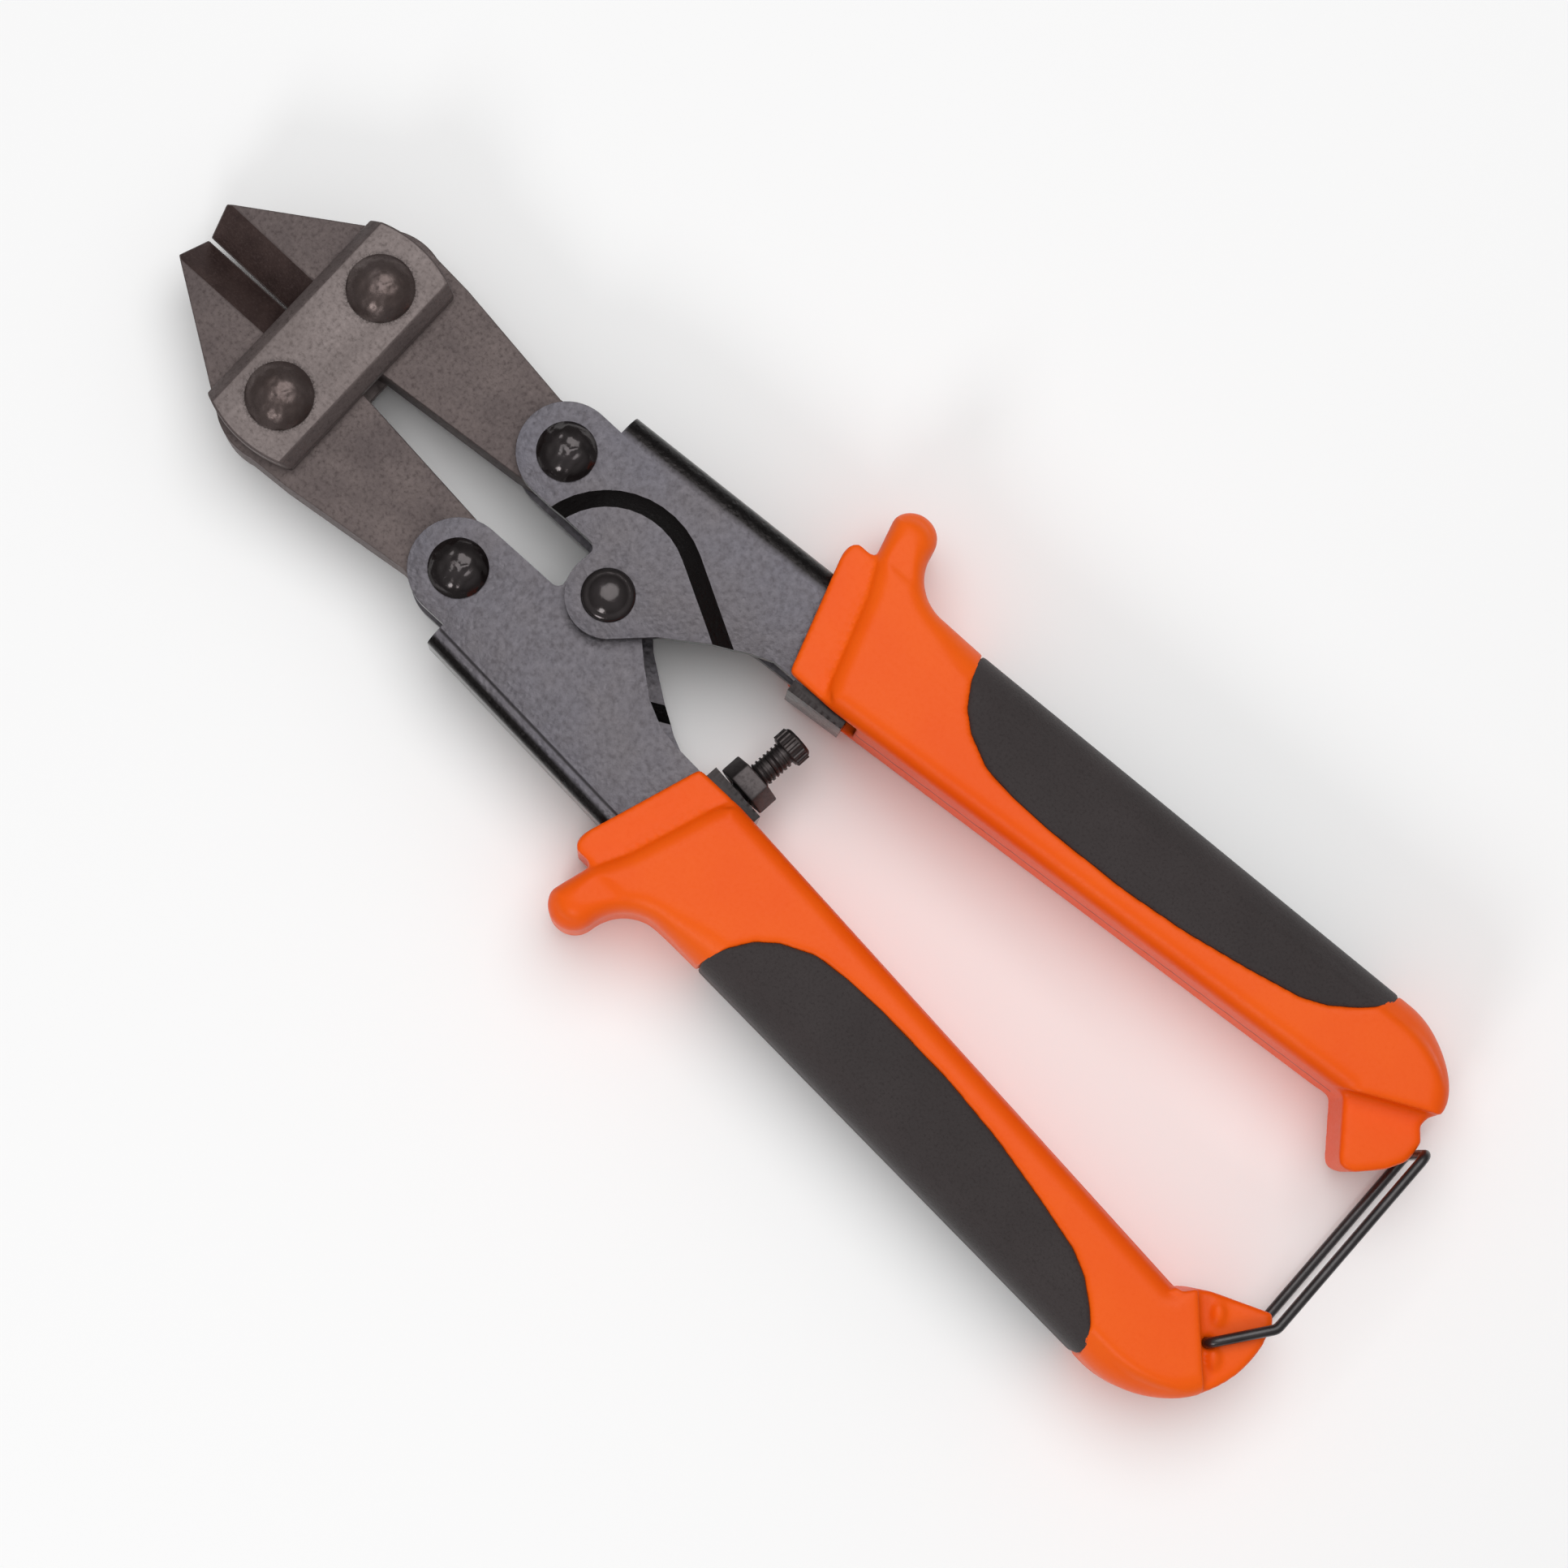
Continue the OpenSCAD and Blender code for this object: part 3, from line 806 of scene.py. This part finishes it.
# On the arms' side walls this near-black finish is painted shade, and the stop tab is near black all
# over.
drawn_oxide = skinned(
    "black_oxide_worked",
    bump=0.25,
    depth=0.00012,
    shell={"Metallic": 0.3, "Specular IOR Level": 0.3},
    over=folded_edge,
    Base=shade(30, 23, 23),
    Cloud=shade(40, 32, 32),
    Speck=shade(22, 16, 16),
    Rubbed=shade(48, 42, 42),
    Grain_size=900.0,
    Cloud_size=120.0,
    Speck_share=0.3,
    Edge_wear=0.2,
    Dull=0.42,
    Shiny=0.24,
)
TAB_EDGE = spot(TAB_START + 0.3, 0).x
TAB_SIDE = 10.2 * MM
SLOPE_STARTS = 0.995
SLOPE_SPAN = 0.12
for side in ("upper", "lower"):
    arm = dressed(
        side + "_arm", side + "_channel_arm", side + "_handle",
        [black_oxide, drawn_oxide], rounding=0.5, segments=4, bend=1.2,
    )
    level = set()
    for face in arm.data.polygons:
        # Side walls take the near-black finish as painted shade; the stop tab is near black all over.
        on_stop_tab = face.center.x > TAB_EDGE and abs(face.center.y) < TAB_SIDE
        if abs(face.normal.z) < 0.5 or on_stop_tab:
            face.material_index = 1
        if abs(face.normal.z) > 0.999:
            level.update(face.vertices)
    # Points on slopes get a share of painted shade growing with their tilt; points on level faces get
    # none.
    layer = arm.data.attributes.new("drawn", "FLOAT", "POINT")
    for vertex in arm.data.vertices:
        tilt = min(max((SLOPE_STARTS - abs(vertex.normal.z)) / SLOPE_SPAN, 0.0), 1.0)
        layer.data[vertex.index].value = 0.0 if vertex.index in level else tilt

# ---- moulded grips ----
# Each grip is moulded in orange plastic over its arm, with a collar, a finger guard,
# a seam on the inner side, and at the end a hook or the seat of the wire bail.

# The two halves of the mould meet in a fine line along the inner side of the grip.
mould_seam, seam_in, seam_out = new_group(
    "mould_seam",
    [("Where", "Vector", None), ("Color", "Color", None), ("Roughness", "Float", 0.5),
     ("Height", "Float", 0.0), ("Line", "Color", (0.2, 0.02, 0.004, 1))],
    [("Color", "Color"), ("Roughness", "Float"), ("Height", "Float")],
)
grip_place = add_node(mould_seam, "ShaderNodeSeparateXYZ", Vector=seam_in.outputs["Where"])
WALL_START = (31.2, 8.9)
WALL_END = (119.0, 17.5)
INNER_SLOPE = (WALL_END[1] - WALL_START[1]) / (WALL_END[0] - WALL_START[0])
INNER_SIDE_DEPTH = 1.0
SEAM_END = 118.5
SEAM_FADE = (0.55 * MM, 0.15 * MM)
inner_side = math_node(
    mould_seam, "SUBTRACT",
    math_node(mould_seam, "ABSOLUTE", grip_place.outputs["Y"]),
    math_node(mould_seam, "MULTIPLY", grip_place.outputs["X"], INNER_SLOPE),
)
by_wall = math_node(
    mould_seam, "LESS_THAN", inner_side,
    (WALL_START[1] + INNER_SIDE_DEPTH) * MM - INNER_SLOPE * spot(WALL_START[0], 0).x,
)
from_seam = math_node(
    mould_seam, "ABSOLUTE", math_node(mould_seam, "SUBTRACT", grip_place.outputs["Z"], PIVOT.z)
)
short_of_end = math_node(mould_seam, "LESS_THAN", grip_place.outputs["X"], spot(SEAM_END, 0).x)
seam = math_node(
    mould_seam, "MULTIPLY",
    math_node(mould_seam, "MULTIPLY", by_wall, short_of_end),
    stretch(mould_seam, from_seam, *SEAM_FADE),
)
mould_seam.links.new(
    blend_colours(mould_seam, seam, seam_in.outputs["Color"], seam_in.outputs["Line"]),
    seam_out.inputs["Color"],
)
mould_seam.links.new(seam_in.outputs["Roughness"], seam_out.inputs["Roughness"])
mould_seam.links.new(
    math_node(mould_seam, "SUBTRACT", seam_in.outputs["Height"], seam), seam_out.inputs["Height"]
)

orange_plastic = skinned(
    "orange_moulding",
    bump=0.18,
    depth=0.00006,
    shell={"Metallic": 0.0, "Specular IOR Level": 0.16},
    over=mould_seam,
    Base=shade(238, 86, 5),
    Cloud=shade(241, 93, 8),
    Speck=shade(234, 80, 5),
    Rubbed=shade(247, 102, 20),
    Grain_size=1800.0,
    Cloud_size=45.0,
    Speck_share=0.25,
    Edge_wear=0.3,
    Dull=0.46,
    Shiny=0.34,
)


def bow(centre, radius, first, last, steps):
    """Points of an arc in the grip's outline, in millimetres and degrees."""
    angles = [math.radians(first + (last - first) * i / steps) for i in range(steps + 1)]
    return [(centre[0] + radius * math.cos(a), centre[1] + radius * math.sin(a)) for a in angles]


HALF_THICKNESS = 10.0
INNER_ROUND = 3.1
OUTER_ROUND = 6.1
GUARD_FOOT = 29.0
GUARD_HEIGHT = 9.0
GUARD_REAR = 34.0
GUARD_THINNING = 1.6
FARTHEST_OUTSIDE = -0.35
MIDLINE_START = (31.0, 18.0)
MIDLINE_SLOPE = 0.09
BLEND_START = 33.0
BLEND_LENGTH = 12.0
BLEND_WIDTH = 6.0
FULLY_ROUNDED = 0.6
RIDGE_HALF_WIDTH = 0.9
grip_side = (
    [WALL_END, WALL_START, (29.5, 12.5), (25.6, 23.8), (23.4, 28.0)]
    + bow((25.0, 34.0), 3.6, 172, 0, 24)
    + bow((35.4, 35.4), 6.9, 195, 268, 16)
)
grip_outline = {
    "upper": grip_side + bow((118.8, 19.5), 13.5, 90, 22, 24),
    "lower": grip_side + bow((118.8, 17.7), 15.3, 90, -10, 32),
}


def grip_frame(points, side, back=False):
    """Places of a grip's points as if it were the upper grip, in millimetres."""
    turned = np.array([1.0, 1.0, 1.0] if side == "upper" else [1.0, -1.0, -1.0])
    if back:
        return points * turned * MM + np.array(PIVOT)
    return (points - np.array(PIVOT)) / MM * turned


def round_over(points, outline):
    """Rounds a moulding's edge along its outline. Returns new points and how far each went."""
    flat, height = points[:, :2], np.abs(points[:, 2])
    nearest = np.full(len(points), 1e9)
    inward = np.zeros_like(flat)
    depth = np.zeros(len(points))
    for start, end in zip(outline, outline[1:]):
        start, run = np.array(start), np.array(end) - np.array(start)
        share = np.clip(((flat - start) @ run) / (run @ run), 0.0, 1.0)
        off = flat - start - share[:, None] * run
        gap = np.linalg.norm(off, axis=1)
        inside = np.array([run[1], -run[0]]) / np.hypot(*run)
        closer = gap < nearest
        nearest[closer] = gap[closer]
        inward[closer] = inside
        depth[closer] = (gap * np.where(off @ inside < 0, -1.0, 1.0))[closer]
    tip_drop = np.clip((points[:, 1] - GUARD_FOOT) / GUARD_HEIGHT, 0.0, 1.0)
    top = HALF_THICKNESS - GUARD_THINNING * tip_drop**2 * (points[:, 0] < GUARD_REAR)
    middle = MIDLINE_START[1] + MIDLINE_SLOPE * (points[:, 0] - MIDLINE_START[0])
    behind_guard = np.clip((points[:, 0] - BLEND_START) / BLEND_LENGTH, 0.0, 1.0)
    outward = np.clip((points[:, 1] - middle) / BLEND_WIDTH, 0.0, 1.0) * behind_guard
    radius = INNER_ROUND + (OUTER_ROUND - INNER_ROUND) * outward * outward * (3 - 2 * outward)
    across = radius - depth
    up = height - (top - radius)
    reach = np.hypot(np.maximum(across, 0.0), up)
    moves = (across > 0) & (up > 0) & (reach > radius) & (depth > FARTHEST_OUTSIDE)
    scale = np.where(moves, radius / np.maximum(reach, 1e-6), 1.0)
    new = points.copy()
    new[:, :2] += inward * np.where(moves, across * (1.0 - scale), 0.0)[:, None]
    flattened = np.where(depth > 0, np.minimum(height, top), height)
    lifted = np.where(moves, top - radius + up * scale, flattened)
    new[:, 2] = np.sign(points[:, 2]) * lifted
    return new, np.linalg.norm(new - points, axis=1)


def moulded(node, name, side, finish, voxel=0.45, soften=4, ridges=()):
    """A moulding over a designed part: fine even skin, melted corners, rounded outline."""
    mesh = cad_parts[node].data.copy()
    mesh.name = name
    work = bmesh.new()
    work.from_mesh(mesh)
    bmesh.ops.remove_doubles(work, verts=work.verts, dist=WELD_GAP)
    for x, y, z, length in ridges:
        half_sizes = (RIDGE_HALF_WIDTH, length / 2, RIDGE_HALF_WIDTH)
        stretched = Matrix.Diagonal((*(half * MM for half in half_sizes), 1.0))
        leaning = Matrix.Translation(spot(x, y, z)) @ Matrix.Rotation(TOOL_SLANT, 4, "Z")
        bmesh.ops.create_uvsphere(
            work, u_segments=16, v_segments=10, radius=1.0, matrix=leaning @ stretched
        )
    work.to_mesh(mesh)
    work.free()
    made = put_in_scene(name, mesh)
    skin = made.modifiers.new("skin", "REMESH")
    skin.mode = "VOXEL"
    skin.voxel_size = voxel * MM
    skin.use_smooth_shade = True
    melt = made.modifiers.new("melt", "SMOOTH")
    melt.factor = 0.5
    melt.iterations = soften
    settle(made)
    count = len(made.data.vertices)
    places = np.empty(count * 3)
    made.data.vertices.foreach_get("co", places)
    local, moved = round_over(grip_frame(places.reshape(-1, 3), side), grip_outline[side])
    made.data.vertices.foreach_set("co", grip_frame(local, side, back=True).ravel())
    relax = made.modifiers.new("relax", "SMOOTH")
    relax.factor = 0.5
    relax.iterations = 2
    settle(made)
    made.data.materials.clear()
    made.data.materials.append(finish)
    layer = made.data.attributes.new("edge", "FLOAT", "POINT")
    layer.data.foreach_set("value", np.clip(moved / FULLY_ROUNDED, 0.0, 1.0))
    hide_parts(node)
    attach(made, side + "_handle")


# The seat of the bail carries two short ridges on each face.
RIDGE_LENGTH = 3.4
RIDGE_LEVEL = 6.5
seat_ridges = [
    (x, y, z, RIDGE_LENGTH)
    for x, y in ((126.5, -15.9), (130, -20.9))
    for z in (RIDGE_LEVEL, -RIDGE_LEVEL)
]
for side, ridges in (("upper", ()), ("lower", seat_ridges)):
    moulded(
        side + "_grip", side + "_grip_moulding", side, orange_plastic, ridges=ridges
    )

# ---- soft pads ----
# A charcoal rubber pad is moulded into the outer side of each grip, round both faces.
# Its surface is dead matte with a fine, even texture that the hand doesn't slip on.

soft_rubber = skinned(
    "charcoal_rubber",
    bump=0.55,
    depth=0.00008,
    shell={"Metallic": 0.0, "Specular IOR Level": 0.25, "Sheen Weight": 0.12, "Sheen Roughness": 0.5},
    Base=shade(52, 46, 46),
    Cloud=shade(58, 52, 52),
    Speck=shade(40, 34, 34),
    Rubbed=shade(58, 50, 50),
    Grain_size=2400.0,
    Cloud_size=60.0,
    Speck_share=0.5,
    Edge_wear=0.35,
    Dull=0.88,
    Shiny=0.72,
)
for side in ("upper", "lower"):
    moulded(
        side + "_grip_pad", side + "_soft_pad", side, soft_rubber,
        voxel=0.42, soften=3,
    )

# ---- stop screw and lock nut ----
# An M4 screw with a fluted cap head sets how far the handles close.
# It is threaded through the lower arm's tab, and a hexagon nut locks it there.

screw_oxide = skinned(
    "black_oxide_screw",
    bump=0.3,
    depth=0.00005,
    shell={"Metallic": 0.7, "Specular IOR Level": 0.5},
    Base=shade(58, 52, 52),
    Cloud=shade(70, 64, 63),
    Speck=shade(36, 31, 31),
    Rubbed=shade(120, 114, 112),
    Grain_size=2200.0,
    Cloud_size=400.0,
    Speck_share=0.4,
    Edge_wear=0.6,
    Dull=0.5,
    Shiny=0.34,
)
SCREW_TILT = math.radians(5.8)
SCREW_FOOT = (31.8, 0.0)
THREAD_PITCH = 0.7
THREAD_LENGTH = 15.3
THREAD_START = -14.2

# Winds a sharp ridge round a core and stands ribs round the head.
screw_tree, screw_in, screw_out = new_group(
    "threaded_and_fluted",
    [
        ("Geometry", "Geometry", None),
        ("Thread radius", "Float", 1.8 * MM),
        ("Thread length", "Float", 15.0 * MM),
        ("Turns", "Float", 20.0),
        ("Ridge", "Float", 0.2 * MM),
        ("Head radius", "Float", 2.5 * MM),
        ("Head height", "Float", 2.0 * MM),
        ("Head foot", "Float", 1.3 * MM),
        ("Ribs", "Int", 28),
        ("Finish", "Material", None),
    ],
    [("Geometry", "Geometry")],
    "GeometryNodeTree",
)
helix = add_node(
    screw_tree, "GeometryNodeCurveSpiral",
    Resolution=24,
    Rotations=screw_in.outputs["Turns"],
    Start_Radius=screw_in.outputs["Thread radius"],
    End_Radius=screw_in.outputs["Thread radius"],
    Height=screw_in.outputs["Thread length"],
)
ridge = add_node(
    screw_tree, "GeometryNodeCurvePrimitiveCircle", Resolution=4, Radius=screw_in.outputs["Ridge"]
)
thread = add_node(
    screw_tree, "GeometryNodeCurveToMesh",
    Curve=helix.outputs[0],
    Profile_Curve=ridge.outputs[0],
    Fill_Caps=True,
)
sunk_thread = add_node(
    screw_tree, "GeometryNodeTransform",
    Geometry=thread.outputs[0],
    Translation=(0.0, 0.0, THREAD_START * MM),
)
rib_ring = add_node(
    screw_tree, "GeometryNodeMeshCircle",
    Vertices=screw_in.outputs["Ribs"],
    Radius=screw_in.outputs["Head radius"],
)
RIB_RADIUS = 0.34
rib = add_node(
    screw_tree, "GeometryNodeMeshCylinder",
    Vertices=10,
    Radius=RIB_RADIUS * MM,
    Depth=screw_in.outputs["Head height"],
)
ribs = add_node(
    screw_tree, "GeometryNodeInstanceOnPoints",
    Points=rib_ring.outputs[0],
    Instance=rib.outputs["Mesh"],
)
half_head = math_node(screw_tree, "MULTIPLY", screw_in.outputs["Head height"], 0.5)
rib_level = math_node(screw_tree, "ADD", screw_in.outputs["Head foot"], half_head)
raised_ribs = add_node(
    screw_tree, "GeometryNodeTransform",
    Geometry=ribs.outputs[0],
    Translation=offset_up(screw_tree, rib_level),
)
whole = screw_tree.nodes.new("GeometryNodeJoinGeometry")
for part in (screw_in.outputs["Geometry"], sunk_thread.outputs[0], raised_ribs.outputs[0]):
    screw_tree.links.new(part, whole.inputs[0])
solid = add_node(screw_tree, "GeometryNodeRealizeInstances", Geometry=whole.outputs[0])
finished = add_node(
    screw_tree, "GeometryNodeSetMaterial",
    Geometry=solid.outputs[0],
    Material=screw_in.outputs["Finish"],
)
screw_tree.links.new(finished.outputs[0], screw_out.inputs[0])

screw_core = [
    (0, -14.5), (1.3, -14.5), (1.62, -14.1), (1.62, 1.2), (2.2, 1.2), (2.36, 1.35),
    (2.36, 3.4), (2.2, 3.66), (2.0, 3.78), (1.25, 3.8), (1.2, 3.3), (1.15, 2.4), (0, 2.2),
]
stop_screw = put_in_scene(
    "stop_screw_threaded", lathe("stop_screw_threaded", screw_core, turns=48)
)
apply_tree(
    stop_screw, screw_tree,
    Thread_radius=1.72 * MM,
    Thread_length=THREAD_LENGTH * MM,
    Turns=THREAD_LENGTH / THREAD_PITCH,
    Ridge=0.21 * MM,
    Head_radius=2.3 * MM,
    Head_height=1.9 * MM,
    Head_foot=1.4 * MM,
    Ribs=14,
    Finish=screw_oxide,
)
upright = Matrix.Rotation(-math.pi / 2, 4, "X")
lean = Matrix.Rotation(-SCREW_TILT, 4, "Z")
stop_screw.data.transform(Matrix.Translation(spot(*SCREW_FOOT)) @ lean @ upright)
stop_screw.data.set_sharp_from_angle(angle=TURNED_SHARP)
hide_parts("stop_screw")
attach(stop_screw, "stop_screw")

nut_oxide = skinned(
    "worn_nut",
    bump=0.3,
    depth=0.00006,
    shell={"Metallic": 0.7, "Specular IOR Level": 0.5},
    Base=shade(78, 72, 72),
    Cloud=shade(66, 60, 60),
    Speck=shade(48, 42, 42),
    Rubbed=shade(96, 90, 90),
    Grain_size=1700.0,
    Cloud_size=320.0,
    Speck_share=0.4,
    Edge_wear=0.6,
    Dull=0.52,
    Shiny=0.36,
)
dressed("stop_nut", "stop_lock_nut", "stop_nut", [nut_oxide], rounding=0.3)

# ---- wire bail ----
# Spring wire bent to a loop, with both ends turned into holes in the lower grip.
# It swings over the hook of the other grip and holds the handles closed.

wire_black = skinned(
    "black_wire",
    bump=0.2,
    depth=0.00005,
    shell={"Metallic": 0.4, "Specular IOR Level": 0.6, "Coat Weight": 0.25, "Coat Roughness": 0.2},
    Base=shade(34, 30, 31),
    Cloud=shade(48, 43, 44),
    Speck=shade(24, 20, 20),
    Rubbed=shade(80, 76, 76),
    Grain_size=1500.0,
    Cloud_size=220.0,
    Speck_share=0.3,
    Edge_wear=0.0,
    Dull=0.42,
    Shiny=0.26,
)
WIRE_RADIUS = 0.74
BEND_RADIUS = 1.6
LEG = 8
front_half = [(128, -19.9, 3), (128, -19.9, LEG), (133.6, -12.3, LEG), (133.05, 18.9, LEG)]
bends = front_half + [(x, y, -z) for x, y, z in reversed(front_half)]


def bent_path(corners, radius):
    """Straight runs joined by round bends, as a wire former leaves them."""
    steps = 8
    points = [Vector(corners[0])]
    for before, at, after in zip(corners, corners[1:], corners[2:]):
        at = Vector(at)
        arrive = (at - Vector(before)).normalized()
        leave = (Vector(after) - at).normalized()
        reach = radius * math.tan(arrive.angle(leave) / 2)
        for i in range(steps + 1):
            t = i / steps
            start, end = at - arrive * reach, at + leave * reach
            points.append(start * (1 - t) ** 2 + at * 2 * t * (1 - t) + end * t**2)
    return points + [Vector(corners[-1])]


wire_curve = bpy.data.curves.new("wire_bail_formed", "CURVE")
wire_curve.dimensions = "3D"
wire_curve.bevel_depth = WIRE_RADIUS * MM
wire_curve.bevel_resolution = 6
wire_curve.use_fill_caps = True
route = bent_path(bends, BEND_RADIUS)
line = wire_curve.splines.new("POLY")
line.points.add(len(route) - 1)
for point, stop in zip(line.points, route):
    point.co = (*spot(*stop), 1.0)
wire_source = put_in_scene("wire_bail_curve", wire_curve)
bpy.context.view_layer.update()
bail_mesh = bpy.data.meshes.new_from_object(
    wire_source.evaluated_get(bpy.context.evaluated_depsgraph_get())
)
bpy.data.objects.remove(wire_source)
wire_bail = put_in_scene("wire_bail_formed", bail_mesh)
bail_mesh.materials.clear()
bail_mesh.materials.append(wire_black)
for face in bail_mesh.polygons:
    face.use_smooth = True
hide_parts("wire_bail")
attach(wire_bail, "wire_bail")
